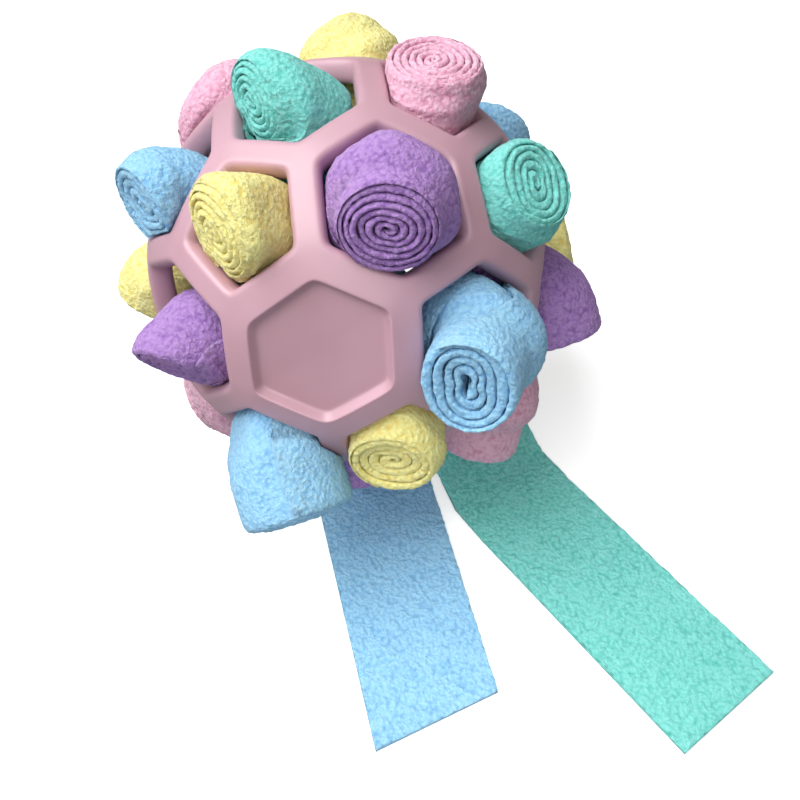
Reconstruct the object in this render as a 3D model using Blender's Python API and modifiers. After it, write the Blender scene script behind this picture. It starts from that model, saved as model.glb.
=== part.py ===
# Plush snuffle toy: a rubber cage ball whose openings hold rolled strips of fleece.
#
# The ball is a closed cage of twelve pentagons and fourteen hexagons. One hexagon is a
# closed, recessed panel. Each strip is one length of fleece, shown in three states: wound
# up and pushed into an opening, lying flat on the floor, or half on the floor with its
# tail tucked into the opening above it. Lengths are in metres, +Z is up, the floor is z = 0
# and the ball's middle stands over the origin.

import math

import bmesh
import bpy
import numpy as np
from mathutils import Matrix, Vector
from mathutils.bvhtree import BVHTree

# Driving sizes of the ball
BALL_RADIUS = 0.060
BALL_HEIGHT = 0.0716
STRUT_WIDTH = 0.0092
WALL = 0.0070
PANEL_EDGE = 0.0008
PANEL_STEP = 0.0018
PANEL_RECESS = 0.0026

# Driving sizes of the fleece
STRIP_WIDTH = 0.039
FLEECE = 0.0014
WINDING_GAP = 0.0017
CORE_RADIUS = 0.0018
ROLL_TURNS = 4
ROLL_PROUD = 0.012
CORE_DIP = 0.0015
CLEARANCE = 0.0003

# Driving sizes of the strips on the floor
BLUE_NEAR = (0.0262, -0.1150)
BLUE_BEARING = -76.0
TEAL_NEAR = (0.1104, -0.1112)
TEAL_BEARING = -52.0
TEAL_FLAT = 0.094
CORNER_RADIUS = 0.002

# Worked out from the above
CENTRE = Vector((0, 0, BALL_HEIGHT))
PITCH = FLEECE + WINDING_GAP
WOUND_RADIUS = CORE_RADIUS + ROLL_TURNS * PITCH
MID_WALL = BALL_RADIUS - WALL / 2

# Steps of the winding: fine on the outer turn, coarse within it and lined up with it
OUTER_STEPS = 12
INNER_STEPS = 6

# Each turn steps over the one before within this share of the turn
STEP_OVER_SHARE = 1 / 3

# The roll that the ball stands on
STANDING_ROLL = "21"

# How wide a roll can be inside the ball, as a share of its mouth, and how wide it is at its
# outer end, as a share of the free winding
INNER_SHARE = 0.85
OUTER_SHARE = 0.86

# The tucked strip lies against half of its opening, tried at this many places, and keeps its
# width over this share of its way to the ends of the rolls
TUCK_STEPS = 36
TAIL_SHARE = 0.3

# How much further than its tightest side a roll swells into its opening's corners
CORNER_SHARE = 1.14

# A roll is tried against the ball at this many levels between two of its own, and widened
# or narrowed this many times
SKIN_SAMPLES = 14
SEAT_ROUNDS = 6

# The tucked strip counts as flat where it bends less than this share of its full curl
FLAT_SHARE = 0.02

# Each opening of the cage: bearing and tilt of its middle, in degrees
OPENINGS = {
    "panel": (-90, 23),
    "02": (-130, 44), "03": (-70, 62), "04": (-51, 15), "05": (-76, -14), "06": (-116, -25), "07": (-143, 8),
    "08": (142, 81), "09": (19, 66), "10": (-11, 29), "11": (-178, 37), "12": (134, 34), "13": (89, 30),
    "14": (48, 19), "15": (28, -20), "16": (-7, 0), "17": (-26, -38), "18": (172, -5), "19": (-153, -40),
    "20": (126, -5), "21": (-87, -58), "22": (101, -40), "23": (34, -62), "24": (152, -34), "25": (67, -9),
    "26": (128, -75),
}

# Each rolled strip: its colour, where its seam lies (degrees about its axis), how oval it is,
# how far it stands out (a share of ROLL_PROUD), and how far it leans outside the ball, with the
# direction that it leans in (degrees; as seen from outside, from the roll's right)
ROLLS = {
    "02": ("yellow", 200, 1.05, 0.62, 40, -127), "03": ("purple", 60, 1.06, 1.15, 44, -117),
    "04": ("blue", 120, 1.04, 1.60, 48, -171), "05": ("yellow", 300, 1.06, 0.75, 33, 139),
    "06": ("blue", 90, 1.03, 1.70, 36, 24), "07": ("purple", 150, 1.05, 0.68, 36, -50),
    "08": ("teal", 210, 1.04, 0.60, 36, -142), "09": ("pink", 330, 1.00, 0.72, 24, -151),
    "10": ("teal", 100, 1.06, 0.68, 24, -154), "11": ("blue", 20, 1.05, 0.85, 42, -132),
    "12": ("pink", 250, 1.02, 0.60, 15, -166), "13": ("yellow", 70, 1.04, 1.00, 31, -118),
    "14": ("blue", 180, 1.03, 0.55, 26, 169), "15": ("yellow", 310, 1.04, 1.40, 26, -59),
    "16": ("purple", 210, 1.03, 0.85, 40, -110), "17": ("pink", 140, 1.04, 1.40, 38, -165),
    "18": ("yellow", 260, 1.03, 0.90, 42, 105), "19": ("pink", 0, 1.03, 0.50, 20, 160),
    "20": ("blue", 110, 1.02, 1.20, 30, 160), "21": ("purple", 60, 1.00, 1.15, 0, 0),
    "22": ("teal", 40, 1.03, 0.90, 0, 0), "24": ("yellow", 170, 1.02, 0.90, 0, 0),
    "25": ("pink", 290, 1.02, 0.90, 0, 0),
}

COLOURS = {
    "rubber": (0.80, 0.47, 0.53), "yellow": (0.90, 0.76, 0.33), "purple": (0.36, 0.20, 0.58),
    "blue": (0.33, 0.60, 0.86), "teal": (0.16, 0.66, 0.54), "pink": (0.90, 0.44, 0.60),
}
RUBBER_ROUGHNESS = 0.42
FLEECE_ROUGHNESS = 0.95


def clear_scene():
    """Removes every object that the file opened with."""
    for obj in list(bpy.data.objects):
        bpy.data.objects.remove(obj, do_unlink=True)


def material(name, colour, roughness):
    """A plain coat of one colour."""
    mat = bpy.data.materials.new(name)
    mat.use_nodes = True
    shader = mat.node_tree.nodes["Principled BSDF"]
    shader.inputs["Base Color"].default_value = (*COLOURS[colour], 1)
    shader.inputs["Roughness"].default_value = roughness
    shader.inputs["Metallic"].default_value = 0
    return mat


def add_object(name, mesh, mat):
    """Puts a mesh into the toy's collection under its own name."""
    obj = bpy.data.objects.new(name, mesh)
    obj.data.materials.append(mat)
    toy.objects.link(obj)
    return obj


def direction(bearing, tilt):
    """Unit vector at a bearing from +X and a tilt above the horizontal, in degrees."""
    b, t = math.radians(bearing), math.radians(tilt)
    return Vector((math.cos(t) * math.cos(b), math.cos(t) * math.sin(b), math.sin(t)))


def cage_junctions(middles):
    """Where three openings meet: the middle of each facet of their convex hull."""
    bm = bmesh.new()
    names = {}
    for name, middle in middles.items():
        names[bm.verts.new(middle)] = name
    bmesh.ops.convex_hull(bm, input=bm.verts)
    meets = []
    for face in bm.faces:
        corners = [names[v] for v in face.verts]
        point = sum((middles[c] for c in corners), Vector()).normalized()
        meets.append((corners, point))
    bm.free()
    return meets


def ring_about(middle, points):
    """The points' order round the middle, seen from outside."""
    side = middle.orthogonal().normalized()
    up = middle.cross(side)
    return sorted(range(len(points)), key=lambda i: math.atan2(points[i].dot(up), points[i].dot(side)))


def cage_mesh(middles, meets):
    """The cage's outer surface: struts of one width, open cells, and the recessed panel."""
    bm = bmesh.new()
    corners = [bm.verts.new(point) for _, point in meets]
    cells = {}
    for name, middle in middles.items():
        own = [i for i, (names, _) in enumerate(meets) if name in names]
        order = ring_about(middle, [meets[i][1] for i in own])
        cells[name] = bm.faces.new([corners[own[k]] for k in order])
    for edge in list(bm.edges):
        bmesh.utils.edge_split(edge, edge.verts[0], 0.5)

    def onto_sphere(verts, radius):
        for v in verts:
            v.co = v.co.normalized() * radius

    onto_sphere(bm.verts, BALL_RADIUS)
    bmesh.ops.recalc_face_normals(bm, faces=bm.faces)
    openings = list(cells.values())
    bmesh.ops.inset_individual(bm, faces=openings, thickness=STRUT_WIDTH / 2, use_even_offset=True)
    onto_sphere(bm.verts, BALL_RADIUS)
    panel = cells["panel"]
    floor = BALL_RADIUS - PANEL_RECESS
    rings = ((PANEL_EDGE, BALL_RADIUS), (PANEL_STEP, floor), (PANEL_EDGE, floor), (STRUT_WIDTH, floor))
    for step, radius in rings:
        bmesh.ops.inset_individual(bm, faces=[panel], thickness=step, use_even_offset=True)
        onto_sphere(panel.verts, radius)
    bmesh.ops.delete(bm, geom=[f for n, f in cells.items() if n != "panel"], context="FACES_ONLY")
    mesh = bpy.data.meshes.new("ball_frame")
    bm.to_mesh(mesh)
    bm.free()
    mesh.shade_smooth()
    return mesh


def make_ball(middles, meets):
    """The moulded rubber ball: the cage's surface given its wall, then rounded."""
    rubber = material("pink_rubber", "rubber", RUBBER_ROUGHNESS)
    obj = add_object("ball_frame", cage_mesh(middles, meets), rubber)
    obj.location = CENTRE
    wall = obj.modifiers.new("wall", "SOLIDIFY")
    wall.thickness = WALL
    wall.offset = -1
    rounding = obj.modifiers.new("rounding", "SUBSURF")
    rounding.levels = 1
    rounding.render_levels = 1
    return obj


def opening_outline(ball, turn):
    """The edges round an opening, seen along its axis: pairs of flat points in turn's X and Y."""
    shape = ball.evaluated_get(bpy.context.evaluated_depsgraph_get()).to_mesh()
    points = np.array([v.co for v in shape.vertices]) @ np.array(turn)
    edges = np.array([e.vertices for e in shape.edges])
    ahead = points[edges][:, :, 2].min(axis=1) > 0
    return points[edges][ahead][:, :, :2]


def free_radius(outline, angle):
    """How far from the axis the frame begins at an angle about the axis."""
    ray = np.array((math.cos(angle), math.sin(angle)))
    start, run = outline[:, 0], outline[:, 1] - outline[:, 0]
    across = run[:, 0] * ray[1] - run[:, 1] * ray[0]
    across = np.where(np.abs(across) < 1e-12, 1e-12, across)
    share = (start[:, 1] * ray[0] - start[:, 0] * ray[1]) / across
    distance = (run[:, 0] * start[:, 1] - run[:, 1] * start[:, 0]) / across
    hit = (share >= 0) & (share <= 1) & (distance > 0)
    return float(distance[hit].min())


def sheet(name, lengthwise, crosswise, place, mat, squeeze=None):
    """A strip of fleece: a grid laid out by place(along, across), then given its thickness.

    Both shares run from 0 to 1. squeeze lists the share of the thickness left at each row
    across the strip."""
    bm = bmesh.new()
    bmesh.ops.create_grid(bm, x_segments=lengthwise, y_segments=crosswise, size=0.5)
    shares = [(v.co.x + 0.5, v.co.y + 0.5) for v in bm.verts]
    for v, (along, across) in zip(bm.verts, shares):
        v.co = place(along, across)
    mesh = bpy.data.meshes.new(name)
    bm.to_mesh(mesh)
    bm.free()
    mesh.shade_smooth()
    obj = add_object(name, mesh, mat)
    thick = obj.modifiers.new("fleece", "SOLIDIFY")
    thick.thickness = FLEECE
    thick.offset = 0
    thick.use_even_offset = True
    if squeeze:
        group = obj.vertex_groups.new(name="squeeze")
        for i, (_, across) in enumerate(shares):
            group.add([i], squeeze[round(across * crosswise)], "REPLACE")
        thick.vertex_group = group.name
    return obj


def winding_angles():
    """Angles of the winding's stations, from the core out."""
    coarse = (ROLL_TURNS - 1) * INNER_STEPS
    angles = [2 * math.pi * i / INNER_STEPS for i in range(coarse)]
    start = 2 * math.pi * (ROLL_TURNS - 1)
    return angles + [start + 2 * math.pi * i / OUTER_STEPS for i in range(OUTER_STEPS + 1)]


def winding_radius(angle):
    """The winding's radius: rings one pitch apart, with a short step from each to the next."""
    turns = angle / (2 * math.pi)
    whole = min(math.floor(turns + 1e-9), ROLL_TURNS - 1)
    step = min((turns - whole) / STEP_OVER_SHARE, 1)
    return CORE_RADIUS + PITCH * (whole + step)


def winding_length(steps=720):
    """Length of strip that one free roll takes up."""
    full = 2 * math.pi * ROLL_TURNS
    angles = [full * i / steps for i in range(steps + 1)]
    points = [Vector((math.cos(a), math.sin(a))) * winding_radius(a) for a in angles]
    return sum((q - p).length for p, q in zip(points, points[1:]))


def elbow_room(axis):
    """Tangent of half the angle to the nearest other strip: its share of the ball's inside."""
    held = [other for name, other in axes.items() if name in ROLLS or name == "23"]
    apart = min(axis.angle(other) for other in held if other != axis)
    return math.tan(apart / 2)


def leaning(turn, axis, lean, towards):
    """A roll's lean as a rotation in its own directions."""
    right = (Vector((1, 0, 0)) - axis * axis.x).normalized()
    way = right * math.cos(math.radians(towards)) + axis.cross(right) * math.sin(math.radians(towards))
    return Matrix.Rotation(math.radians(lean), 4, turn.inverted() @ axis.cross(way))


def roll_levels(fit, oval, room, mouth, outer, lean):
    """A roll's three levels: its plane, and its width share at a bearing about its axis.

    Inside the ball it is round and drawn in, clear of its neighbours. At the mouth it fills
    the opening's outline. Its outer end is a plain oval, and leans about the mouth's middle."""
    tightest = min(fit)
    inner = outer - STRIP_WIDTH
    drawn_in = (inner * room - FLEECE / 2 - CLEARANCE) / WOUND_RADIUS

    def inner_share(angle):
        return min(tightest * INNER_SHARE, drawn_in)

    def mouth_share(angle):
        return fit[round(angle / (2 * math.pi) * OUTER_STEPS) % OUTER_STEPS]

    def outer_share(angle):
        return OUTER_SHARE / math.hypot(math.cos(angle) / oval, math.sin(angle) * oval)

    level = Matrix.Translation((0, 0, mouth))
    end = level @ lean @ Matrix.Translation((0, 0, outer - mouth))
    return (Matrix.Translation((0, 0, inner)), inner_share), (level, mouth_share), (end, outer_share)


def roll_place(levels):
    """Maps a strip onto a spiral about +Z through a roll's three levels."""
    angles = winding_angles()
    last = len(angles) - 1

    def place(along, across):
        angle = angles[round(along * last)]
        row = round(across * 2)
        plane, share = levels[row]
        wound = winding_radius(angle)
        radius = wound * share(angle)
        dip = CORE_DIP * (1 - wound / WOUND_RADIUS) if row == 2 else 0
        return plane @ Vector((radius * math.cos(angle), radius * math.sin(angle), -dip))

    return place


def skin_points(levels):
    """Points on the outside of a roll's last turn, about +Z, level by level."""
    half = FLEECE / (2 * math.cos(math.pi / OUTER_STEPS))
    rows = []
    for plane, share in levels:
        corners = []
        for step in range(OUTER_STEPS + 1):
            angle = 2 * math.pi * step / OUTER_STEPS
            radius = WOUND_RADIUS * share(angle) + half
            corners.append(plane @ Vector((radius * math.cos(angle), radius * math.sin(angle), 0)))
        rows.append(corners)
    return rows


def room_round(levels, turn, ball_tree):
    """Least distance from a roll's last turn to the ball."""
    least = math.inf
    rows = skin_points(levels)
    for low, high in zip(rows, rows[1:]):
        for part in range(SKIN_SAMPLES + 1):
            ring = [a.lerp(b, part / SKIN_SAMPLES) for a, b in zip(low, high)]
            for a, b in zip(ring, ring[1:]):
                for across in range(2):
                    point = turn @ a.lerp(b, across / 2)
                    touch, normal, _, distance = ball_tree.find_nearest(point)
                    least = min(least, math.copysign(distance, (point - touch).dot(normal)))
    return least


def fit_mouth(outline):
    """How wide a roll can be at its mouth, at each outer step, as shares of the free winding."""
    angles = [2 * math.pi * i / OUTER_STEPS for i in range(OUTER_STEPS)]
    shares = [(free_radius(outline, a) - FLEECE / 2 - CLEARANCE) / WOUND_RADIUS for a in angles]
    return [min(share, min(shares) * CORNER_SHARE) for share in shares]


def seat_roll(cell, axis, turn, ball, ball_tree):
    """A roll's levels, fitted until it lies a clearance from the ball and clear of the floor.

    One that would reach the floor is pushed in until it lies on the strip there. The roll that
    the ball stands on always reaches that strip, however high the ball is."""
    _, _, oval, proud_share, lean, towards = ROLLS[cell]
    fit = fit_mouth(opening_outline(ball, turn))
    proud = BALL_RADIUS + ROLL_PROUD * proud_share
    outer = proud
    for _ in range(SEAT_ROUNDS):
        mouth = math.sqrt(BALL_RADIUS ** 2 - (min(fit) * WOUND_RADIUS) ** 2)
        tilt = leaning(turn, axis, lean, towards)
        levels = roll_levels(fit, oval, elbow_room(axis), mouth, outer, tilt)
        spare = (room_round(levels, turn, ball_tree) - CLEARANCE) / WOUND_RADIUS
        fit = [share + spare for share in fit]
        if axis.z < 0:
            above = BALL_HEIGHT + min((turn @ point).z for point in skin_points(levels)[-1])
            reach = outer - (above - FLEECE - CLEARANCE) / axis.z
            outer = reach if cell == STANDING_ROLL else min(proud, reach)
    return levels


def make_roll(cell, axis, ball, ball_tree):
    """One rolled strip, wound about its opening's axis with its origin on that axis."""
    colour, seam, *_ = ROLLS[cell]
    turn = axis.to_track_quat("Z", "Y").to_matrix() @ Matrix.Rotation(math.radians(seam), 3, "Z")
    levels = seat_roll(cell, axis, turn, ball, ball_tree)
    name = "roll_" + cell + "_" + colour
    squeeze = [min(share(0), 1) for _, share in levels]
    coat = material(name, colour, FLEECE_ROUGHNESS)
    obj = sheet(name, len(winding_angles()) - 1, 2, roll_place(levels), coat, squeeze)
    obj.matrix_world = Matrix.Translation(CENTRE) @ turn.to_4x4()
    report_gap(name, levels)
    return obj


def report_gap(name, levels):
    """Prints the least gap between one turn of a roll and the next, over its three levels."""
    angles = winding_angles()
    last = len(angles) - 1
    place = roll_place(levels)
    least = math.inf
    for row, (plane, share) in enumerate(levels):
        flat = plane.inverted()
        line = [(flat @ place(i / last, row / 2)).xy for i in range(last + 1)]
        dense = np.array([a.lerp(b, k / 6) for a, b in zip(line, line[1:]) for k in range(6)])
        turns = np.array([angles[i // 6] for i in range(len(dense))])
        apart = np.linalg.norm(dense[:, None] - dense[None], axis=2)
        far = np.abs(turns[:, None] - turns[None]) > math.pi
        least = min(least, apart[far].min() - FLEECE * min(share(0), 1))
    print(name, "least gap between turns, mm:", round(least * 1000, 2))


def floor_run(near, bearing, across):
    """A strip's near point and its inward direction on the floor, shifted across its width."""
    inward = -direction(bearing, 0)
    side = Vector((-inward.y, inward.x, 0))
    start = Vector((*near, FLEECE / 2)) - side * (across - 0.5) * STRIP_WIDTH
    return start, inward, side


def flat_place(near, bearing):
    """Maps a strip onto the floor, from its near end inward, with its near corners rounded."""
    def place(along, across):
        start, inward, _ = floor_run(near, bearing, across)
        return start + inward * (corner_trim(across) * (1 - along) + STRIP_LENGTH * along)

    return place


def corner_trim(across):
    """How far a rounded corner draws the near end back at a share of the width."""
    inside = CORNER_RADIUS - min(across, 1 - across) * STRIP_WIDTH
    if inside <= 0:
        return 0
    return CORNER_RADIUS - math.sqrt(max(CORNER_RADIUS ** 2 - inside ** 2, 0))


def tucked_place(near, bearing, flat, axis, ball):
    """Maps a strip that lies on the floor, rises to an opening and runs on into the ball.

    In the opening it curls round the axis, against the opening's wall."""
    turn = axis.to_track_quat("Z", "Y").to_matrix()
    start, inward, side = floor_run(near, bearing, 0.5)
    lift_off = start + inward * flat
    coming = turn.inverted() @ (lift_off - CENTRE)
    middle = math.atan2(coming.y, coming.x)
    outline = opening_outline(ball, turn)
    half_round = [middle + math.pi * (i / TUCK_STEPS - 0.5) for i in range(TUCK_STEPS + 1)]
    free = min(free_radius(outline, way) for way in half_round)
    curl = free - CLEARANCE - FLEECE / 2
    inner = BALL_RADIUS + ROLL_PROUD - STRIP_WIDTH
    drawn_in = min(curl * INNER_SHARE, inner * elbow_room(axis) - CLEARANCE - FLEECE / 2)
    mouth = CENTRE + axis * math.sqrt(MID_WALL ** 2 - curl ** 2)
    away = lift_off - mouth
    away = (away - axis * away.dot(axis)).normalized()
    landing = mouth + away * curl
    chord = (landing - lift_off).length
    rise_length = arc_length(lift_off, inward, landing, -axis, chord)
    round_way = axis.cross(away)
    if round_way.dot(side) > 0:
        round_way = -round_way

    def place(along, across):
        run = along * STRIP_LENGTH
        offset = (across - 0.5) * STRIP_WIDTH
        if run <= flat:
            begin, _, _ = floor_run(near, bearing, across)
            return begin + inward * max(run, corner_trim(across))
        past = (run - flat) / rise_length
        if past < 1:
            middle = hermite(lift_off, inward, landing, -axis, chord, past)
            bend = past * past * (3 - 2 * past)
        else:
            middle = landing - axis * (run - flat - rise_length)
            bend = 1
        deep = (run - flat - rise_length) / (STRIP_WIDTH - ROLL_PROUD)
        inside = min(max((deep - TAIL_SHARE) / (1 - TAIL_SHARE), 0), 1)
        radius = (curl + (drawn_in - curl) * inside) / max(bend, FLAT_SHARE)
        angle = offset / radius
        wide = (-side).lerp(round_way, bend).normalized()
        lift = Vector((0, 0, 1)).lerp(-away, bend).normalized()
        wide = (wide - lift * wide.dot(lift)).normalized()
        return middle + wide * radius * math.sin(angle) + lift * radius * (1 - math.cos(angle))

    return place


def hermite(a, a_way, b, b_way, size, t):
    """A smooth curve from a to b that leaves along a_way and arrives along b_way."""
    return ((2 * t ** 3 - 3 * t ** 2 + 1) * a + (t ** 3 - 2 * t ** 2 + t) * size * a_way
            + (3 * t ** 2 - 2 * t ** 3) * b + (t ** 3 - t ** 2) * size * b_way)


def arc_length(a, a_way, b, b_way, size, steps=48):
    """Length of that curve."""
    points = [hermite(a, a_way, b, b_way, size, i / steps) for i in range(steps + 1)]
    return sum((q - p).length for p, q in zip(points, points[1:]))


# Every strip is as long as a free roll takes up
STRIP_LENGTH = winding_length()

clear_scene()
toy = bpy.data.collections.new("plush_snuffle_toy")
bpy.context.scene.collection.children.link(toy)

middles = {name: direction(*angles) for name, angles in OPENINGS.items()}
meets = cage_junctions(middles)
ball = make_ball(middles, meets)
axes = {name: sum((p for names, p in meets if name in names), Vector()).normalized() for name in OPENINGS}
bpy.context.view_layer.update()
ball_tree = BVHTree.FromObject(ball, bpy.context.evaluated_depsgraph_get())
for cell in ROLLS:
    make_roll(cell, axes[cell], ball, ball_tree)
sheet("strip_blue", 1, 6, flat_place(BLUE_NEAR, BLUE_BEARING),
      material("strip_blue", "blue", FLEECE_ROUGHNESS))
sheet("strip_teal", 16, 4, tucked_place(TEAL_NEAR, TEAL_BEARING, TEAL_FLAT, axes["23"], ball),
      material("strip_teal", "teal", FLEECE_ROUGHNESS))
print("strip length, mm:", round(STRIP_LENGTH * 1000, 1))
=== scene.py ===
# %% [markdown]
# # A snuffle ball, dressed for its picture
#
# The real object is a moulded rubber cage ball. Rolled strips of soft fleece are pushed into
# its openings, and two strips are pulled out and lie flat on the floor. The rigid model is
# already there: each roll and the ball are simple solids at their true size and place. This
# script keeps those places and makes the surfaces that a camera sees: smooth rubber with
# rounded edges, and fleece that is wound, squeezed and bulging.

# %% Load the model
import math

import bmesh
import bpy
import numpy as np
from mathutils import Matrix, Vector, noise
from mathutils.bvhtree import BVHTree


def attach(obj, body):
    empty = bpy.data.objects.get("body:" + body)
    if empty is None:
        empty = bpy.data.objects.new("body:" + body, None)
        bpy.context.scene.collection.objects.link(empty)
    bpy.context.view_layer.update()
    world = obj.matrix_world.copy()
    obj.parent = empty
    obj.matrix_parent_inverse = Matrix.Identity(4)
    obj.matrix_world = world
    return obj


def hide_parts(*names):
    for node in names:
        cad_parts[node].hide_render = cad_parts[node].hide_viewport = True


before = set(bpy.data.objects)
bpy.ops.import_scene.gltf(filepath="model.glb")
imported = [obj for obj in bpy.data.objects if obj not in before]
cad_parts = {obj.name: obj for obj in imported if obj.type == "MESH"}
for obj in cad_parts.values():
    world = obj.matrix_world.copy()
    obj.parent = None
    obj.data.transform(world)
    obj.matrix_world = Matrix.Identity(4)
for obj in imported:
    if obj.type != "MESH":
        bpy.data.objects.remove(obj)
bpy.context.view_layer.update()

rolls = sorted(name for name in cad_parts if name.startswith("roll_"))

# %% [markdown]
# ## The camera
#
# The view looks down at the ball and at the strips in front of it, close enough for the near
# rolls to look larger than the far ones. Place and lens were found by matching the ball's
# outline, the corners of its openings and the strips' edges with the picture. The camera only
# tilts down, so one angle is enough, and there is no lens shift.

# %% Camera
CAMERA_PLACE = Vector((0.0152, -0.2153, 0.2799))
CAMERA_TILT = math.radians(38)
CAMERA_LENS_MM = 43.83
SENSOR_MM = 36

lens = bpy.data.cameras.new("camera")
lens.lens = CAMERA_LENS_MM
lens.sensor_width = SENSOR_MM
lens.clip_start = 0.01
camera = bpy.data.objects.new("camera", lens)
camera.location = CAMERA_PLACE
camera.rotation_euler = (CAMERA_TILT, 0, 0)
bpy.context.scene.collection.objects.link(camera)
bpy.context.scene.camera = camera
bpy.context.scene.view_settings.view_transform = "Standard"
print("camera", [round(v, 3) for v in CAMERA_PLACE])

# %% [markdown]
# ## The floor
#
# The picture is a product shot, white all round. A plain white floor would throw too much
# light back up and wash out the deep pink of the ball's underside. So the floor is split by
# the kind of ray: the camera sees white with a little glow, and every other ray meets grey.

# %% Floor
FLOOR_SIZE = 4.0
FLOOR_SEEN = 0.93
FLOOR_FELT = 0.26
FLOOR_GLOW = 0.45


def link(tree, a, b):
    """Joins an output socket to an input socket."""
    tree.links.new(a, b)


floor_look = bpy.data.materials.new("floor")
floor_look.use_nodes = True
floor_tree = floor_look.node_tree
floor_shader = floor_tree.nodes["Principled BSDF"]
floor_shader.inputs["Roughness"].default_value = 0.9
floor_shader.inputs["Specular IOR Level"].default_value = 0.1
ray = floor_tree.nodes.new("ShaderNodeLightPath")
floor_mix = floor_tree.nodes.new("ShaderNodeMix")
floor_mix.data_type = "RGBA"
floor_mix.inputs["A"].default_value = (FLOOR_FELT, FLOOR_FELT, FLOOR_FELT, 1)
floor_mix.inputs["B"].default_value = (FLOOR_SEEN, FLOOR_SEEN, FLOOR_SEEN, 1)
link(floor_tree, ray.outputs["Is Camera Ray"], floor_mix.inputs["Factor"])
link(floor_tree, floor_mix.outputs["Result"], floor_shader.inputs["Base Color"])
floor_glow = floor_tree.nodes.new("ShaderNodeMath")
floor_glow.operation = "MULTIPLY"
floor_glow.inputs[1].default_value = FLOOR_GLOW
link(floor_tree, ray.outputs["Is Camera Ray"], floor_glow.inputs[0])
floor_shader.inputs["Emission Color"].default_value = (1, 1, 1, 1)
link(floor_tree, floor_glow.outputs["Value"], floor_shader.inputs["Emission Strength"])

bpy.ops.mesh.primitive_plane_add(size=FLOOR_SIZE)
floor = bpy.context.object
floor.name = "floor"
floor.data.materials.append(floor_look)
print("floor", FLOOR_SIZE, "m")

# %% [markdown]
# ## The lamps
#
# The tops of the rolls are bright and the underside falls off to a deep pink. One broad lamp,
# high on the left and a little in front, gives that. A second, weak one in front fills the
# deepest shade. Both are nearly a metre wide, which keeps every shadow soft.

# %% Lamps
OVERHEAD_WATTS = 13.5
FILL_WATTS = 0.8


def facing(place, aim):
    """The turn that points a lamp from its place to its aim."""
    return (Vector(aim) - Vector(place)).to_track_quat("-Z", "Y").to_euler()


def lamp(name, place, aim, size, watts):
    """A square soft light at a place, turned towards a point."""
    data = bpy.data.lights.new(name, "AREA")
    data.size = size
    data.energy = watts
    obj = bpy.data.objects.new(name, data)
    obj.location = place
    obj.rotation_euler = facing(place, aim)
    bpy.context.scene.collection.objects.link(obj)


lamp("overhead", (-0.42, -0.06, 0.88), (0, 0, 0.05), 0.9, OVERHEAD_WATTS)
lamp("front_fill", (0.05, -0.75, 0.90), (0, 0, 0.0), 0.8, FILL_WATTS)
print("lamps", OVERHEAD_WATTS, "and", FILL_WATTS, "W")

# %% [markdown]
# ### A spot for the strips
#
# The strips in front of the ball lie in its soft shadow, where the picture shows them evenly
# lit. A stronger lamp would brighten everything, so a narrow spot with a soft edge is aimed
# at them alone. It is kept weak, because it also reaches the lower rolls.

# %% Spot
SPOT_PLACE = (0.06, -0.62, 0.52)
SPOT_AIM = (0.04, -0.11, 0)
SPOT_WATTS = 12
SPOT_ANGLE = math.radians(21)
SPOT_SIZE = 0.10

strip_light = bpy.data.lights.new("strip_light", "SPOT")
strip_light.energy = SPOT_WATTS
strip_light.spot_size = SPOT_ANGLE
strip_light.spot_blend = 1.0
strip_light.shadow_soft_size = SPOT_SIZE
strip_lamp = bpy.data.objects.new("strip_light", strip_light)
strip_lamp.location = SPOT_PLACE
strip_lamp.rotation_euler = facing(SPOT_PLACE, SPOT_AIM)
bpy.context.scene.collection.objects.link(strip_lamp)
print("spot", SPOT_WATTS, "W")

# %% [markdown]
# ### The sky
#
# Behind the object the picture is plain white, but a sky as white as that would light the
# ball from every side and flatten it. So the sky is split as the floor is: white to the
# camera, and dimmer as a light.

# %% Sky
SKY_FELT = 0.24

world = bpy.data.worlds.new("sky")
bpy.context.scene.world = world
world.use_nodes = True
sky = world.node_tree.nodes["Background"]
sky_ray = world.node_tree.nodes.new("ShaderNodeLightPath")
sky_mix = world.node_tree.nodes.new("ShaderNodeMix")
sky_mix.inputs["A"].default_value = SKY_FELT
sky_mix.inputs["B"].default_value = 1
sky.inputs["Color"].default_value = (1, 1, 1, 1)
link(world.node_tree, sky_ray.outputs["Is Camera Ray"], sky_mix.inputs["Factor"])
link(world.node_tree, sky_mix.outputs["Result"], sky.inputs["Strength"])

# %% [markdown]
# ## The rubber
#
# Moulded rubber of this kind has a satin skin: a broad, soft shine, and a very fine grain
# from the mould. Colour alone would look like plastic, so a little light scatters under the
# surface, and slow noise shifts the tone and the gloss. The noise runs on the object's own
# coordinates, so nothing has to be unwrapped.

# %% Rubber
RUBBER = (0.57, 0.34, 0.41)
RUBBER_SHADE = (0.52, 0.30, 0.36)
RUBBER_GLOSS = (0.36, 0.50)
CLOUDS_PER_METRE = 28.0
GRAINS_PER_METRE = 1900.0
GRAIN_DEPTH = 0.0002
SCATTER_DEPTH = 0.002


def node(tree, kind, **values):
    """A shader node with its input sockets set by name."""
    made = tree.nodes.new(kind)
    for key, value in values.items():
        made.inputs[key.replace("_", " ")].default_value = value
    return made


def ramp(tree, low, high, dark, light):
    """A colour ramp from dark to light between two positions."""
    made = tree.nodes.new("ShaderNodeValToRGB")
    made.color_ramp.elements[0].position = low
    made.color_ramp.elements[1].position = high
    made.color_ramp.elements[0].color = (*dark, 1)
    made.color_ramp.elements[1].color = (*light, 1)
    return made


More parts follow.
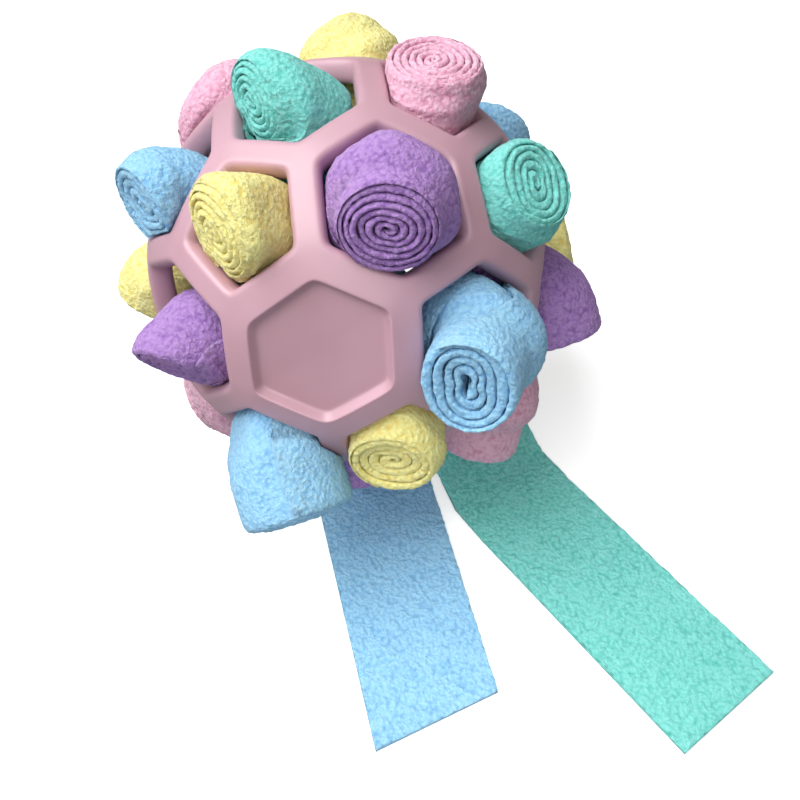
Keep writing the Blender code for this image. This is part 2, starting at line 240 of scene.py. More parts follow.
def satin_rubber():
    """Smooth moulded rubber with a fine grain."""
    mat = bpy.data.materials.new("satin_rubber")
    mat.use_nodes = True
    tree = mat.node_tree
    shader = tree.nodes["Principled BSDF"]
    place = tree.nodes.new("ShaderNodeTexCoord")
    cloud = node(tree, "ShaderNodeTexNoise", Scale=CLOUDS_PER_METRE, Detail=3.0)
    grain = node(tree, "ShaderNodeTexNoise", Scale=GRAINS_PER_METRE, Detail=2.0)
    tone = ramp(tree, 0.35, 0.65, RUBBER_SHADE, RUBBER)
    gloss = tree.nodes.new("ShaderNodeMapRange")
    gloss.inputs["To Min"].default_value = RUBBER_GLOSS[0]
    gloss.inputs["To Max"].default_value = RUBBER_GLOSS[1]
    bump = node(tree, "ShaderNodeBump", Strength=0.10, Distance=GRAIN_DEPTH)
    for texture in (cloud, grain):
        link(tree, place.outputs["Object"], texture.inputs["Vector"])
    link(tree, cloud.outputs["Fac"], tone.inputs["Fac"])
    link(tree, tone.outputs["Color"], shader.inputs["Base Color"])
    link(tree, cloud.outputs["Fac"], gloss.inputs["Value"])
    link(tree, gloss.outputs["Result"], shader.inputs["Roughness"])
    link(tree, grain.outputs["Fac"], bump.inputs["Height"])
    link(tree, bump.outputs["Normal"], shader.inputs["Normal"])
    shader.inputs["Specular IOR Level"].default_value = 0.9
    shader.inputs["Subsurface Weight"].default_value = 0.12
    shader.inputs["Subsurface Radius"].default_value = (1.0, 0.5, 0.5)
    shader.inputs["Subsurface Scale"].default_value = SCATTER_DEPTH
    return mat


rubber = satin_rubber()
print("rubber ready")

# %% [markdown]
# ## The fleece
#
# Fleece is the opposite of rubber: almost no shine, a pebbled pile, and a fuzzy rim where
# light grazes it. Single hairs would be far too many. Instead one Voronoi pattern, about a
# millimetre across, drives colour and bump together, so a hollow is both lower and darker;
# that darker tone is painted shade in the hollows. Finer noise over it stands for fibres, and
# broad noise for patches of the pile. The larger tufts are real geometry, and are raised
# further down.

# %% Fleece
# Each colour's light tone, then its darker one. The darker one is painted shade in the pile's hollows,
# and also a real shift of tone where fibres and patches vary.
FLEECE_COLOURS = {
    "yellow": ((0.98, 0.90, 0.38), (0.80, 0.62, 0.15)),
    "purple": ((0.46, 0.28, 0.61), (0.22, 0.10, 0.38)),
    "blue": ((0.36, 0.66, 0.92), (0.17, 0.42, 0.72)),
    "teal": ((0.26, 0.74, 0.68), (0.09, 0.50, 0.44)),
    "pink": ((0.90, 0.53, 0.67), (0.64, 0.24, 0.38)),
}
PEBBLES_PER_METRE = 880.0
FIBRES_PER_METRE = 2400.0
WARPS_PER_METRE = 300.0
PATCHES_PER_METRE = 110.0
WARP = 0.0012
PEBBLE_DEPTH = 0.0012
FIBRE_SHARE = 0.45
PATCH_SHARE = 0.18


def fleece(colour):
    """Matt fleece with a pebbled pile, in one colour."""
    light, dark_tone_and_hollow_shade = FLEECE_COLOURS[colour]
    mat = bpy.data.materials.new("fleece_" + colour)
    mat.use_nodes = True
    tree = mat.node_tree
    shader = tree.nodes["Principled BSDF"]
    place = tree.nodes.new("ShaderNodeTexCoord")
    warp = node(tree, "ShaderNodeTexNoise", Scale=WARPS_PER_METRE, Detail=2.0)
    shift = tree.nodes.new("ShaderNodeVectorMath")
    shift.operation = "MULTIPLY_ADD"
    shift.inputs[1].default_value = (WARP, WARP, WARP)
    pebble = node(tree, "ShaderNodeTexVoronoi", Scale=PEBBLES_PER_METRE)
    pebble.feature = "SMOOTH_F1"
    fibre = node(tree, "ShaderNodeTexNoise", Scale=FIBRES_PER_METRE, Detail=3.0)
    patch = node(tree, "ShaderNodeTexNoise", Scale=PATCHES_PER_METRE, Detail=2.0)
    height = tree.nodes.new("ShaderNodeMapRange")
    height.inputs["From Min"].default_value = 0.0
    height.inputs["From Max"].default_value = 0.75
    height.inputs["To Min"].default_value = 1.0
    height.inputs["To Max"].default_value = 0.0
    tufts = tree.nodes.new("ShaderNodeMix")
    tufts.inputs["Factor"].default_value = FIBRE_SHARE
    # Painted shade: the pebbles' hollows take the darker colour, while fibres and patches shift the
    # tone at random.
    tone = ramp(tree, 0.18, 0.52, dark_tone_and_hollow_shade, light)
    bump = node(tree, "ShaderNodeBump", Strength=1.0, Distance=PEBBLE_DEPTH)
    blend = tree.nodes.new("ShaderNodeMix")
    blend.inputs["Factor"].default_value = PATCH_SHARE
    link(tree, place.outputs["Object"], warp.inputs["Vector"])
    link(tree, warp.outputs["Color"], shift.inputs[0])
    link(tree, place.outputs["Object"], shift.inputs[2])
    for texture in (pebble, fibre, patch):
        link(tree, shift.outputs["Vector"], texture.inputs["Vector"])
    link(tree, pebble.outputs["Distance"], height.inputs["Value"])
    link(tree, height.outputs["Result"], tufts.inputs["A"])
    link(tree, fibre.outputs["Fac"], tufts.inputs["B"])
    link(tree, tufts.outputs["Result"], blend.inputs["A"])
    link(tree, patch.outputs["Fac"], blend.inputs["B"])
    link(tree, blend.outputs["Result"], tone.inputs["Fac"])
    link(tree, tone.outputs["Color"], shader.inputs["Base Color"])
    link(tree, tufts.outputs["Result"], bump.inputs["Height"])
    link(tree, bump.outputs["Normal"], shader.inputs["Normal"])
    shader.inputs["Roughness"].default_value = 1.0
    shader.inputs["Specular IOR Level"].default_value = 0.1
    shader.inputs["Sheen Weight"].default_value = 0.35
    shader.inputs["Sheen Roughness"].default_value = 0.6
    shader.inputs["Sheen Tint"].default_value = (*light, 1)
    shader.inputs["Subsurface Weight"].default_value = 0.5
    shader.inputs["Subsurface Radius"].default_value = (1.0, 1.0, 1.0)
    shader.inputs["Subsurface Scale"].default_value = SCATTER_DEPTH
    return mat


fleeces = {colour: fleece(colour) for colour in FLEECE_COLOURS}
print("fleeces", sorted(fleeces))

# %% [markdown]
# ## The cage ball
#
# The ball is a closed cage of pentagons and hexagons, moulded in one piece. One hexagon is
# filled, and has a shallow panel with a groove round its floor. The cells aren't regular, so a
# ready-made football shape wouldn't fit. Only the middles of the cells are given here, as a
# bearing and a tilt, and the rest is worked out from them.

# %% Cage sizes
CENTRE = Vector((0, 0, 0.0716))
BALL_RADIUS = 0.060
STRUT_WIDTH = 0.0096
EDGE_ROUND = 0.0029
WALL = 0.0070
PANEL_EDGE = 0.0004
PANEL_STEP = 0.0008
PANEL_FOOT = 0.0013
PANEL_GROOVE = 0.0009
PANEL_RECESS = 0.0026
CORNER_SHARE = 0.24

OPENINGS = {
    "panel": (-90, 23),
    "02": (-130, 44), "03": (-70, 62), "04": (-51, 15), "05": (-76, -14), "06": (-116, -25),
    "07": (-143, 8), "08": (142, 81), "09": (19, 66), "10": (-11, 29), "11": (-178, 37),
    "12": (134, 34), "13": (89, 30), "14": (48, 19), "15": (28, -20), "16": (-7, 0),
    "17": (-26, -38), "18": (172, -5), "19": (-153, -40), "20": (126, -5), "21": (-87, -58),
    "22": (101, -40), "23": (34, -62), "24": (152, -34), "25": (67, -9), "26": (128, -75),
}


def direction(bearing, tilt):
    """Unit vector at a bearing from +X and a tilt above the horizontal, in degrees."""
    b, t = math.radians(bearing), math.radians(tilt)
    return Vector((math.cos(t) * math.cos(b), math.cos(t) * math.sin(b), math.sin(t)))


middles = {name: direction(*angles) for name, angles in OPENINGS.items()}
print(len(middles), "cells")

# %% [markdown]
# ### Where the struts meet
#
# Every junction of three struts lies between three cells. The convex hull of the middles
# finds those threes by itself: one triangle of the hull is one junction.

# %% Junctions


def find_junctions(middles):
    """Where three openings meet: the middle of each facet of their convex hull."""
    bm = bmesh.new()
    names = {bm.verts.new(middle): name for name, middle in middles.items()}
    bmesh.ops.convex_hull(bm, input=bm.verts)
    found = []
    for face in bm.faces:
        corners = [names[v] for v in face.verts]
        found.append((corners, sum((middles[c] for c in corners), Vector()).normalized()))
    bm.free()
    return found


junctions = find_junctions(middles)
axes = {}
for name in OPENINGS:
    axes[name] = sum((p for names, p in junctions if name in names), Vector()).normalized()
print(len(junctions), "junctions")

# %% [markdown]
# ### The skin of the cage
#
# A strut of the real ball is a flat band with rounded edges, and each opening has soft
# corners. Every side of a cell is first split near both ends, which keeps its middle straight
# and rounds its corners only. Two insets then leave the flat of the band, and a border that
# the smoothing turns into its rounding. Three more rings shape the panel: its edge, the
# groove at the foot of its step, and its floor.

# %% Cage surface


def round_order(middle, points):
    """The points' order round the middle, seen from outside."""
    side = middle.orthogonal().normalized()
    up = middle.cross(side)
    turns = [math.atan2(p.dot(up), p.dot(side)) for p in points]
    return sorted(range(len(points)), key=lambda i: turns[i])


def onto_sphere(verts, radius):
    """Moves vertices along their own directions onto a sphere."""
    for v in verts:
        v.co = v.co.normalized() * radius


def cage_surface():
    """The cage's outer skin as one open mesh, with the recessed panel."""
    bm = bmesh.new()
    corners = [bm.verts.new(point) for _, point in junctions]
    cells = {}
    for name, middle in middles.items():
        own = [i for i, (names, _) in enumerate(junctions) if name in names]
        order = round_order(middle, [junctions[i][1] for i in own])
        cells[name] = bm.faces.new([corners[own[k]] for k in order])
    for edge in list(bm.edges):
        far = edge.verts[1]
        _, added = bmesh.utils.edge_split(edge, edge.verts[0], CORNER_SHARE)
        rest = next(e for e in added.link_edges if far in e.verts)
        bmesh.utils.edge_split(rest, added, 1 - CORNER_SHARE / (1 - CORNER_SHARE))
    onto_sphere(bm.verts, BALL_RADIUS)
    bmesh.ops.recalc_face_normals(bm, faces=bm.faces)
    for step in (STRUT_WIDTH / 2 - EDGE_ROUND, EDGE_ROUND):
        bmesh.ops.inset_individual(bm, faces=list(cells.values()), thickness=step, use_even_offset=True)
        onto_sphere(bm.verts, BALL_RADIUS)
    panel = cells["panel"]
    floor_radius = BALL_RADIUS - PANEL_RECESS
    rings = [(PANEL_EDGE, BALL_RADIUS)]
    rings.append((PANEL_STEP, floor_radius - PANEL_GROOVE))
    rings.append((PANEL_FOOT, floor_radius))
    for step, radius in rings:
        bmesh.ops.inset_individual(bm, faces=[panel], thickness=step, use_even_offset=True)
        onto_sphere(panel.verts, radius)
    bmesh.ops.delete(bm, geom=[f for n, f in cells.items() if n != "panel"], context="FACES_ONLY")
    mesh = bpy.data.meshes.new("rubber_ball")
    bm.to_mesh(mesh)
    bm.free()
    mesh.shade_smooth()
    return mesh


# %% [markdown]
# ### The ball itself
#
# The skin so far is a thin open sheet. Solidify gives the wall its thickness, inward, and
# Subdivision Surface rounds it all. The finished surface is also kept as a search tree, since
# the rolls need to know where the rubber is.

# %% Ball


def add_piece(name, mesh, look):
    """Puts a mesh into the scene with its finish."""
    obj = bpy.data.objects.new(name, mesh)
    mesh.materials.append(look)
    bpy.context.scene.collection.objects.link(obj)
    return obj


CAGE_ROUNDING = 2
ball = add_piece("rubber_ball", cage_surface(), rubber)
ball.location = CENTRE
wall = ball.modifiers.new("wall", "SOLIDIFY")
wall.thickness = WALL
wall.offset = -1
rounding = ball.modifiers.new("rounding", "SUBSURF")
rounding.levels = CAGE_ROUNDING
rounding.render_levels = CAGE_ROUNDING
bpy.context.view_layer.update()
ball_tree = BVHTree.FromObject(ball, bpy.context.evaluated_depsgraph_get())
print("ball faces", len(ball.evaluated_get(bpy.context.evaluated_depsgraph_get()).data.polygons))

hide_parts("ball_frame")
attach(ball, "ball")

# %% [markdown]
# ## The rolls
#
# A roll is one long strip, wound on itself and pushed into its opening. Its turns lie close,
# so the strip is built in a roll's own measure: how far out a point lies, as a share of the
# roll's skin in that direction. Two turns then can't cross, however the skin is squeezed.
#
# A cloth simulation could squeeze the rolls as well, but it is slow for so many, and hard to
# steer to a picture. So each roll's pose was read from the picture. The rolls on the far side
# don't show, and stand straight.

# %% How each roll lies
# How far each roll stands out of the ball in mm, how many degrees it leans at its mouth,
# which way as seen from outside (degrees from its right), and how far it has slid that way
# in its opening in mm. Roll 21 isn't listed, and stands out as far as its solid does.
LIES = {
    "02": (6.2, 41, -132, 0), "03": (12.2, 50, -106, 2.2), "04": (21.6, 58, -175, 1),
    "05": (8.4, 34, 139, 0), "06": (23.0, 40, -18, 0), "07": (5.4, 46, -56, 4),
    "08": (7.5, 76, -138, 3), "09": (8.6, 24, -151, 0), "10": (7.9, 24, -154, 0),
    "11": (8.0, 52, -118, 4), "12": (8.6, 15, -156, 0), "13": (14.0, 34, -160, 0),
    "14": (2.0, 50, 165, 3), "15": (21.0, 40, -20, 0), "16": (16.0, 70, -108, 3.5),
    "17": (18.5, 58, -171, 0), "18": (12.5, 66, 100, 6), "19": (9.5, 20, 160, 0),
    "20": (18.0, 30, 160, 0), "22": (10.8, 0, 0, 0), "24": (10.8, 0, 0, 0), "25": (10.8, 0, 0, 0),
}
MOUTH_HEIGHT = 0.0585
BEND_BEFORE = 0.006
BEND_AFTER = 0.006
STRIP_WIDTH = 0.039
END_WIDTH = 0.0136

# %% [markdown]
# ### How each roll is wound
#
# No two rolls of the real toy look alike: some end in a tidy spiral, and others are squeezed
# flat, hollow in the middle or twisted. One function winds them all, and a table says how a
# roll differs from a plain one. Only what differs is written down.

# %% How each roll is wound
# Turns, core stretch and its direction, how far the middle stands out (or in) in mm, how wide
# the end is (a share of the plain one), where the strip's end lies, twist over half the
# strip's width, how far the rim rounds over in mm, how loose the turns lie, how uneven in mm,
# how far the roll spreads in a long opening, how much its upper side is pressed down, how
# wide its hollow core is, and how thick the strip's own end lies on the roll.
PLAIN_LOOK = {
    "turns": 5.2, "stretch": 0.22, "towards": 90, "dome": 0.5, "wide": 1.0, "seam": 200,
    "twist": 0, "rim": 1.5, "loose": 0.02, "uneven": 0.5, "full": 1.4, "pressed": 0.0,
    "core": 0.05, "flap": 0.04,
}
LOOKS = {
    "02": {"turns": 6.6, "stretch": 0.34, "towards": 110, "dome": 1.2, "seam": 225, "rim": 2.0,
           "uneven": 0.6},
    "03": {"turns": 7.2, "stretch": 0.30, "towards": 0, "dome": 0.3, "seam": 250, "rim": 1.6,
           "loose": 0.08, "uneven": 1.1, "full": 1.5, "core": 0.08},
    "04": {"turns": 4.6, "stretch": 0.55, "towards": 100, "dome": -2.4, "seam": 130,
           "twist": -60, "loose": 0.12, "uneven": 1.2, "rim": 1.2, "wide": 1.06, "full": 1.15,
           "core": 0.22, "flap": 0.10},
    "05": {"turns": 4.8, "stretch": 0.30, "towards": 20, "dome": -2.6, "seam": 250, "rim": 1.2,
           "uneven": 0.7, "wide": 0.94, "core": 0.12},
    "06": {"turns": 5.0, "dome": 0.8, "seam": 90, "rim": 1.6, "wide": 1.25},
    "07": {"turns": 5.0, "dome": 0.0, "seam": 30, "rim": 1.0, "wide": 0.97, "full": 1.1,
           "pressed": 0.15},
    "08": {"turns": 6.4, "stretch": 0.30, "dome": 0.4, "rim": 1.4, "wide": 0.86,
           "pressed": 0.34},
    "09": {"turns": 7.0, "stretch": 0.08, "dome": -0.5, "seam": 100, "rim": 1.0,
           "uneven": 0.4},
    "10": {"turns": 5.8, "stretch": 0.42, "towards": 110, "dome": -0.4, "seam": 70,
           "rim": 1.0, "wide": 0.94},
    "11": {"turns": 4.8, "stretch": 0.30, "dome": -1.0, "rim": 0.8, "wide": 0.92, "full": 1.3},
    "12": {"rim": 2.5, "dome": 1.0, "wide": 1.06},
    "13": {"rim": 3.0, "dome": 2.5, "wide": 1.1},
    "14": {"wide": 0.8, "full": 0.95},
    "15": {"rim": 1.2, "wide": 1.06},
    "16": {"rim": 0.8, "dome": 0.0, "full": 1.3, "pressed": 0.1},
    "17": {"rim": 0.8, "full": 1.2},
    "18": {"rim": 1.6, "wide": 0.96, "full": 1.1, "pressed": 0.2},
    "19": {"rim": 3.0, "dome": 1.0},
    "21": {"wide": 0.8, "full": 1.0},
}


def look_of(cell):
    """A roll's way of lying: its own words over the plain ones."""
    return {**PLAIN_LOOK, **LOOKS.get(cell, {})}


print(len(LOOKS), "rolls with their own look")

# %% [markdown]
# ### A roll's middle line
#
# The wall of the ball holds a real roll straight, and the cloth flops over where the rubber
# lets go. A curve could be drawn by hand for each roll. A formula is shorter: every line runs
# along its opening's axis, and turns smoothly over a few millimetres around the mouth.

# %% A roll's middle line
SPINE_STOPS = 120
PAST_END = 0.012


class Spine:
    """A roll's middle line from inside the ball to its end, with the directions across it."""

    def __init__(self, cell, solid):
        axis = axes[cell]
        reach = max((v.co - CENTRE).dot(axis) for v in solid.data.vertices) - BALL_RADIUS
        stand, lean, towards, slid = LIES.get(cell, (reach * 1000, 0, 0, 0))
        right = (Vector((1, 0, 0)) - axis * axis.x).normalized()
        up = axis.cross(right)
        way = right * math.cos(math.radians(towards)) + up * math.sin(math.radians(towards))
        self.axis, self.right, self.up = (np.array(v) for v in (axis, right, up))
        self.hinge = np.array(axis.cross(way))
        self.lean = math.radians(lean)
        self.end = BALL_RADIUS + stand / 1000
        self.start = self.end - STRIP_WIDTH
        self.stops = np.linspace(self.start, self.end + PAST_END, SPINE_STOPS)
        step = self.stops[1] - self.stops[0]
        runs = self.turned(self.axis, self.bend(self.stops))
        self.points = self.axis * self.start + np.cumsum(runs, axis=0) * step - runs[0] * step
        self.points += np.array(way) * slid / 1000
        self.towards = math.radians(towards)

    def bend(self, s):
        """How far the line has turned at a distance along it."""
        t = np.clip((s - MOUTH_HEIGHT + BEND_BEFORE) / (BEND_BEFORE + BEND_AFTER), 0, 1)
        return self.lean * t * t * (3 - 2 * t)

    def turned(self, v, angle):
        """A direction turned about the roll's hinge."""
        c, n = np.cos(angle)[..., None], np.sin(angle)[..., None]
        return v * c + np.cross(self.hinge, v) * n + self.hinge * (v @ self.hinge) * (1 - c)

    def at(self, s):
        """The line's points at distances along it."""
        return np.stack([np.interp(s, self.stops, self.points[:, k]) for k in range(3)], axis=-1)

    def place(self, s, radius, theta):
        """Points at a distance along the line, a radius and an angle about it."""
        angle = self.bend(s)
        across = self.turned(self.right, angle) * np.cos(theta)[..., None]
        across += self.turned(self.up, angle) * np.sin(theta)[..., None]
        return self.at(s) + across * radius[..., None]


spines = {name: Spine(name.split("_")[1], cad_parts[name]) for name in rolls}
proud = {name[5:7]: round((line.end - BALL_RADIUS) * 1000, 1) for name, line in spines.items()}
print("stand out, mm:", proud)

# %% [markdown]
# ### Where the rubber stops a roll
#
# Rays from the middle line, all round it, measure how far the rubber is. The roll's skin
# takes the narrowest place in the wall, softened all round. Past the rubber's edge it swells
# a little, as soft cloth does, and then draws in to its end. The skin itself never passes
# what the rays measured.

# %% Where the rubber stops a roll
SKIN_ANGLES = 96
SKIN_ROWS = 72
SKIN_GAP = 0.00015
INNER_SHARE = 0.66
INNER_RUN = 0.02
BULGE = 0.0014
BULGE_RUN = 0.004
DRAW_IN = 0.009
PRESS_RUN = 0.006
MOUTH_SPARE = 0.001
THROAT_ROUNDS = 14
SKIN_ROUNDS = 2


def rubber_room(line, stops, angles):
    """How far the rubber is from the roll's middle line, by distance and angle."""
    rooms = np.full((len(stops), len(angles)), math.inf)
    bends, middles_along = line.bend(stops), line.at(stops)
    for j, angle in enumerate(angles):
        ways = line.turned(line.right, bends) * math.cos(angle)
        ways = ways + line.turned(line.up, bends) * math.sin(angle)
        for i, start in enumerate(middles_along):
            touch = ball_tree.ray_cast(Vector(start), Vector(ways[i]))[3]
            if touch is not None:
                rooms[i, j] = touch - SKIN_GAP
    return rooms


def ease(t):
    """A smooth step from 0 to 1."""
    t = np.clip(t, 0, 1)
    return t * t * (3 - 2 * t)


def skin_table(line, look):
    """The roll's radius by distance and angle: it fills its opening and draws in to its end."""
    stops = np.linspace(line.start, line.end, SKIN_ROWS)
    angles = np.arange(SKIN_ANGLES) * 2 * math.pi / SKIN_ANGLES
    rooms = rubber_room(line, stops, angles)
    wall = (stops > MOUTH_HEIGHT - WALL) & (stops < MOUTH_HEIGHT + MOUTH_SPARE)
    throat = rooms[wall].min(axis=0)
    throat = np.minimum(throat, throat.min() * look["full"])
    for _ in range(THROAT_ROUNDS):
        throat = (np.roll(throat, 1) + 2 * throat + np.roll(throat, -1)) / 4
    past = (stops - MOUTH_HEIGHT)[:, None]
    inside = ease((MOUTH_HEIGHT - WALL - stops) / INNER_RUN)[:, None]
    body = (throat + BULGE * ease(past / BULGE_RUN)) * (1 - (1 - INNER_SHARE) * inside)
    end = np.full(SKIN_ANGLES, END_WIDTH * look["wide"])
    out = ease(past / DRAW_IN)
    upper = np.maximum(-np.cos(angles - line.towards), 0)
    body = body * (1 - look["pressed"] * upper * ease(past / PRESS_RUN + 1))
    return np.minimum(body * (1 - out) + end * out, rooms)


def smooth_table(table, rounds):
    """Softens a skin so that cloth doesn't crease where rubber and air meet."""
    for _ in range(rounds):
        soft = table.copy()
        soft[1:-1] = (table[:-2] + 2 * table[1:-1] + table[2:]) / 4
        soft = (np.roll(soft, 1, axis=1) + 2 * soft + np.roll(soft, -1, axis=1)) / 4
        table = np.minimum(soft, table)
    return table


def read_skin(line, table, s, theta):
    """Reads a skin table at any distances and angles."""
    row = np.clip((s - line.start) / STRIP_WIDTH * (SKIN_ROWS - 1), 0, SKIN_ROWS - 1.001)
    column = (theta % (2 * math.pi)) / (2 * math.pi) * SKIN_ANGLES
    i, j = row.astype(int), column.astype(int) % SKIN_ANGLES
    a, b = row - i, column - np.floor(column)
    k = (j + 1) % SKIN_ANGLES
    return ((table[i, j] * (1 - b) + table[i, k] * b) * (1 - a)
            + (table[i + 1, j] * (1 - b) + table[i + 1, k] * b) * a)


# %% [markdown]
# ### The strip's section
#
# Cut across, the fleece is a band with rounded edges. Rows of points run down both its
# sides: close together at the edge that shows, and far apart inside the ball, where nobody
# looks. That keeps the mesh light.

# %% The strip's section
EDGE_RADIUS = 0.0011
EDGE_STEPS = 7
CLOSE_ROW = 0.0006
WIDE_ROW = 0.0008
LOOSE_ROW = 0.0045
CLOSE_DEPTH = 0.004


def rows_below(close, wide, seen):
    """Depths below the strip's edge: close together at the edge, wide apart inside the ball."""
    found = [EDGE_RADIUS]
    while found[-1] < STRIP_WIDTH - EDGE_RADIUS - LOOSE_ROW:
        gap = close if found[-1] < CLOSE_DEPTH else wide if found[-1] < seen else LOOSE_ROW
        found.append(found[-1] + gap * 1)
    return found + [STRIP_WIDTH - EDGE_RADIUS]


def strip_section(seen):
    """The strip's closed outline as (depth, side): side runs from 1 on its outside to -1."""
    section = [(d, 1.0) for d in reversed(rows_below(CLOSE_ROW, WIDE_ROW, seen))]
    for step in range(1, EDGE_STEPS):
        angle = math.pi * step / EDGE_STEPS
        section.append((EDGE_RADIUS * (1 - math.sin(angle)), math.cos(angle)))
    section += [(d, -1.0) for d in rows_below(CLOSE_ROW, LOOSE_ROW, CLOSE_DEPTH)]
    section.append((STRIP_WIDTH, 0.0))
    return np.array(section)


# %% [markdown]
# ### The spiral
#
# The strip runs in a spiral from a small core out to the skin. Its stations are spaced by
# length, so the mesh is as fine outside as near the core. The last turn thins down to a
# flap, as the end of a real strip lies on its roll.

# %% The spiral
STATION = 0.0008
DENSE_STOPS = 3000
LEAST_SHARE = 0.03


def winding_edge(x, look):
    """The winding's outer edge after x turns, as a share of the skin: the last turn lies thin."""
    turns, core, flap = look["turns"], look["core"], look["flap"]
    body = (1 - flap - core) / (turns - 1)
    return np.where(x < turns - 1, core + body * x, 1 - flap * (turns - x))


def stations(look, radius):
    """Turns along the winding, evenly spaced by length, and the whole length."""
    dense = np.linspace(0, look["turns"], DENSE_STOPS)
    middle = (winding_edge(dense, look) + np.maximum(winding_edge(dense - 1, look), 0)) / 2
    middle = np.maximum(middle, LEAST_SHARE)
    travelled = np.cumsum(middle) * radius * 2 * math.pi * look["turns"] / len(dense)
    count = int(travelled[-1] / (STATION * 1))
    return np.interp(np.linspace(travelled[0], travelled[-1], count), travelled, dense), travelled[-1]


def slow_noise(x, y, seed):
    """Smooth noise over two arrays."""
    flat = [noise.noise(Vector((a, b, seed))) for a, b in zip(np.ravel(x), np.ravel(y))]
    return np.array(flat).reshape(np.shape(x))


# %% [markdown]
# ### One wound roll
#
# The section is swept along the spiral and squeezed into the skin. Near the visible end the
# middle domes out or sinks in, the rim rounds over, the core is stretched one way, and slow
# noise makes the turns uneven. These fade out with depth, because only the end shows them.

# %% One wound roll
SEED_STEP = 7.3
LIFT_DEPTH = 0.012
ROUND_DEPTH = 0.006
WANDER_DEPTH = 0.02
WANDER = 0.05


def swept_mesh(name, points):
    """A closed mesh of quads through rows of points, with a face over each end."""
    count, around = points.shape[:2]
    grid = np.arange(count * around).reshape(count, around)
    ahead = np.roll(grid, -1, axis=1)
    faces = np.stack([grid[:-1], grid[1:], ahead[1:], ahead[:-1]], axis=-1).reshape(-1, 4).tolist()
    faces.append(grid[0].tolist())
    faces.append(grid[-1][::-1].tolist())
    mesh = bpy.data.meshes.new(name)
    mesh.from_pydata(points.reshape(-1, 3).tolist(), [], faces)
    mesh.shade_smooth()
    return mesh


def wind(name):
    """Builds one roll: the swept strip, squeezed into its skin."""
    cell = name.split("_")[1]
    look = look_of(cell)
    line = spines[name]
    table = smooth_table(skin_table(line, look), SKIN_ROUNDS)
    section = strip_section(line.end - BALL_RADIUS + WALL)
    x, length = stations(look, END_WIDTH)
    seed = float(cell) * SEED_STEP
    spiral = 2 * math.pi * x
    wander = slow_noise(np.cos(spiral) * 1.2, np.sin(spiral) * 1.2, seed)
    outer = winding_edge(x, look)
    inner = np.maximum(winding_edge(x - 1, look), look["core"] / 3)
    loose = look["loose"] * (1 + slow_noise(x * 1.7, x * 0, seed + 3))
    middle, half = (outer + inner) / 2, (outer - inner) / 2 * (1 - loose)
    depth, side = section[:, 0][None, :], section[:, 1][None, :]
    share = middle[:, None] + side * half[:, None]
    twist = math.radians(look["twist"]) * depth / STRIP_WIDTH * 2
    theta = (spiral - spiral[-1] + math.radians(look["seam"]))[:, None] + twist + 0 * side
    near_end = np.clip(1 - depth / LIFT_DEPTH, 0, 1) ** 2
    own = np.clip(share, 0, 1)
    bump = slow_noise(x * 2.1, x * 0 + 5, seed)[:, None] * look["uneven"]
    lift = look["dome"] * (1 - own ** 2) - look["rim"] * own ** 6 + bump
    s = line.end - depth + near_end * lift / 1000 - max(look["dome"], 0) / 2000
    radius = share * read_skin(line, table, s, theta)
    round_over = np.clip(1 - depth / ROUND_DEPTH, 0, 1) ** 2 * look["rim"] / 1000 * 0.5
    radius = radius - round_over * own ** 2
    off = theta - math.radians(look["towards"])
    radius = radius * (1 + look["stretch"] * (1 - own) * np.cos(2 * off))
    fade = np.clip(1 - depth / WANDER_DEPTH, 0, 1)
    radius = radius * (1 + WANDER * wander[:, None] * fade * (1 - own * 0.7))
    points = line.place(s, radius, theta) + np.array(CENTRE)
    return swept_mesh("fleece_" + name, points), length


# %% [markdown]
# ### The pile
#
# Up close the fleece is lumpy, with tufts a little under two millimetres across. Bump alone
# would leave the outline smooth, so a Displace modifier raises the tufts as geometry.

# %% Pile
pile = bpy.data.textures.new("pile", "VORONOI")
pile.noise_scale = 0.0017
pile.noise_intensity = 1.0
PILE_DEPTH = -0.0006


def add_pile(piece):
    """Raises a piece's surface into soft tufts."""
    tufts = piece.modifiers.new("pile", "DISPLACE")
    tufts.texture = pile
    tufts.strength = PILE_DEPTH
    tufts.mid_level = 0.4


# %% [markdown]
# ### All the rolls
#
# Each roll takes the place of its solid and rides its own body, so it slides out of the ball
# when its joint moves.

# %% Make the rolls
for name in rolls:
    colour = name.split("_")[2]
    mesh, length = wind(name)
    piece = add_piece("fleece_" + name, mesh, fleeces[colour])
    add_pile(piece)
    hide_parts(name)
    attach(piece, name)
    print(piece.name, len(mesh.polygons), "faces,", round(length * 1000), "mm of strip")

# %% [markdown]
# ## The flat strips
#
# One strip runs flat along the floor, on under the ball and out behind it. The other rises
# from the floor into its opening. Both are single layers of the same fleece. Each solid
# already has the right run, but only a few wide facets, and trimmed corners at its free end.
# A remesh would round the cut edges, which are crisp on the real strip. So the solid's own
# mesh is copied, its end is squared and its long edges are cut finer.

# %% Sizes of the strips
STRIP_CELL = 0.0016
CLOTH = 0.0014
CORNER_REACH = 0.009
SAME_PLACE = 1e-6
SHARP = 1
CUT_ROUNDS = 9
FREE_TILT = -0.2
RISEN = 0.004

# %% [markdown]
# ### A square end
#
# The longest sharp edge near the floor gives the strip's direction. The points near the free
# end are then moved out to its two sides, on a line that may slant as a hurried cut does.

# %% A square end


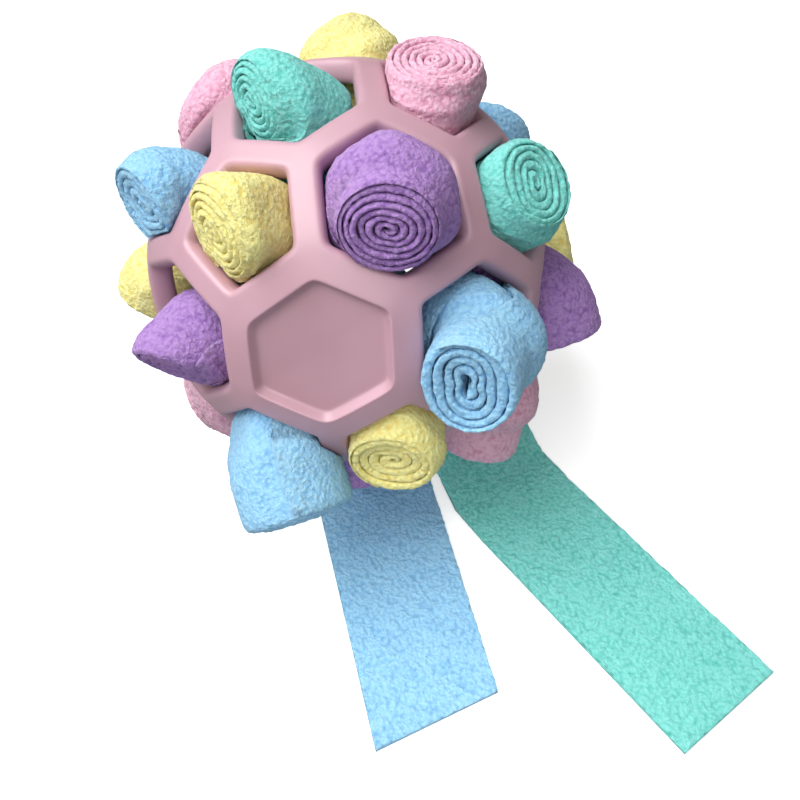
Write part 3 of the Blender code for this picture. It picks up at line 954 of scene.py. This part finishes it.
def square_end(mesh, longer, slant):
    """Gives a strip's free end its two square corners, a little longer and cut at a slant."""
    bm = bmesh.new()
    bm.from_mesh(mesh)
    bmesh.ops.remove_doubles(bm, verts=bm.verts, dist=SAME_PLACE)
    near_floor = [e for e in bm.edges if max(v.co.z for v in e.verts) < 2 * CLOTH]
    low = [e for e in near_floor if e.calc_face_angle(0) > SHARP]
    rim = max(low, key=lambda e: e.calc_length())
    along = (rim.verts[1].co - rim.verts[0].co).normalized()
    along *= math.copysign(1, along.dot(rim.verts[0].co + rim.verts[1].co))
    across = Vector((-along.y, along.x, 0))
    reach = max(v.co.dot(along) for v in bm.verts)
    last = [v for v in bm.verts if v.co.dot(along) > reach - CORNER_REACH]
    sides = [v.co.dot(across) for v in last]
    middle, half = (max(sides) + min(sides)) / 2, (max(sides) - min(sides)) / 2
    for v in last:
        side = v.co.dot(across) - middle
        if abs(side) > half / 3:
            side = math.copysign(half, side)
        flat = along * (reach + longer + slant * side) + across * (middle + side)
        v.co = (flat.x, flat.y, v.co.z)
    bm.to_mesh(mesh)
    bm.free()
    print("free end", [round(v * 1000, 1) for v in along * reach], "half width", round(half * 1000, 1))


# %% [markdown]
# ### Finer facets
#
# The pile needs many points to raise. The flat facets are merged first, which drops the
# solid's own odd triangles, and every edge is then halved until none is too long.

# %% Finer facets


def finer(mesh, size):
    """Cuts a mesh's edges until none is longer than a size."""
    bm = bmesh.new()
    bm.from_mesh(mesh)
    bmesh.ops.remove_doubles(bm, verts=bm.verts, dist=SAME_PLACE)
    bmesh.ops.dissolve_limit(bm, angle_limit=math.radians(0.5), verts=bm.verts, edges=bm.edges)
    bmesh.ops.triangulate(bm, faces=bm.faces)
    for _ in range(CUT_ROUNDS):
        long = [edge for edge in bm.edges if edge.calc_length() > size]
        if not long:
            break
        bmesh.ops.subdivide_edges(bm, edges=long, cuts=1)
        bmesh.ops.triangulate(bm, faces=[f for f in bm.faces if len(f.verts) > 3])
    bm.to_mesh(mesh)
    bm.free()


# %% [markdown]
# ### Lay the strips
#
# The pile is raised on the upper side and the edges only. The side on the floor stays flat,
# so the strip neither sinks into the floor nor hovers over it.

# %% Lay the strips


def lay_strip(node_name, colour, body, longer, slant):
    """A flat strip of fleece over its solid's place."""
    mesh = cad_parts[node_name].data.copy()
    mesh.materials.clear()
    square_end(mesh, longer, slant)
    finer(mesh, STRIP_CELL * (1))
    mesh.shade_smooth()
    piece = add_piece("fleece_" + node_name, mesh, fleeces[colour])
    free = piece.vertex_groups.new(name="free_side")
    upper = [v for v in mesh.vertices if v.co.z > CLOTH / 2]
    upper = [v.index for v in upper if v.normal.z > FREE_TILT or v.co.z > RISEN]
    free.add(upper, 1.0, "REPLACE")
    add_pile(piece)
    piece.modifiers["pile"].vertex_group = free.name
    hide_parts(node_name)
    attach(piece, body)
    print(piece.name, len(mesh.polygons), "faces")


lay_strip("strip_blue", "blue", "strip_blue", 0.0, -0.21)
lay_strip("strip_teal", "teal", "ball", 0.0015, 0.0)
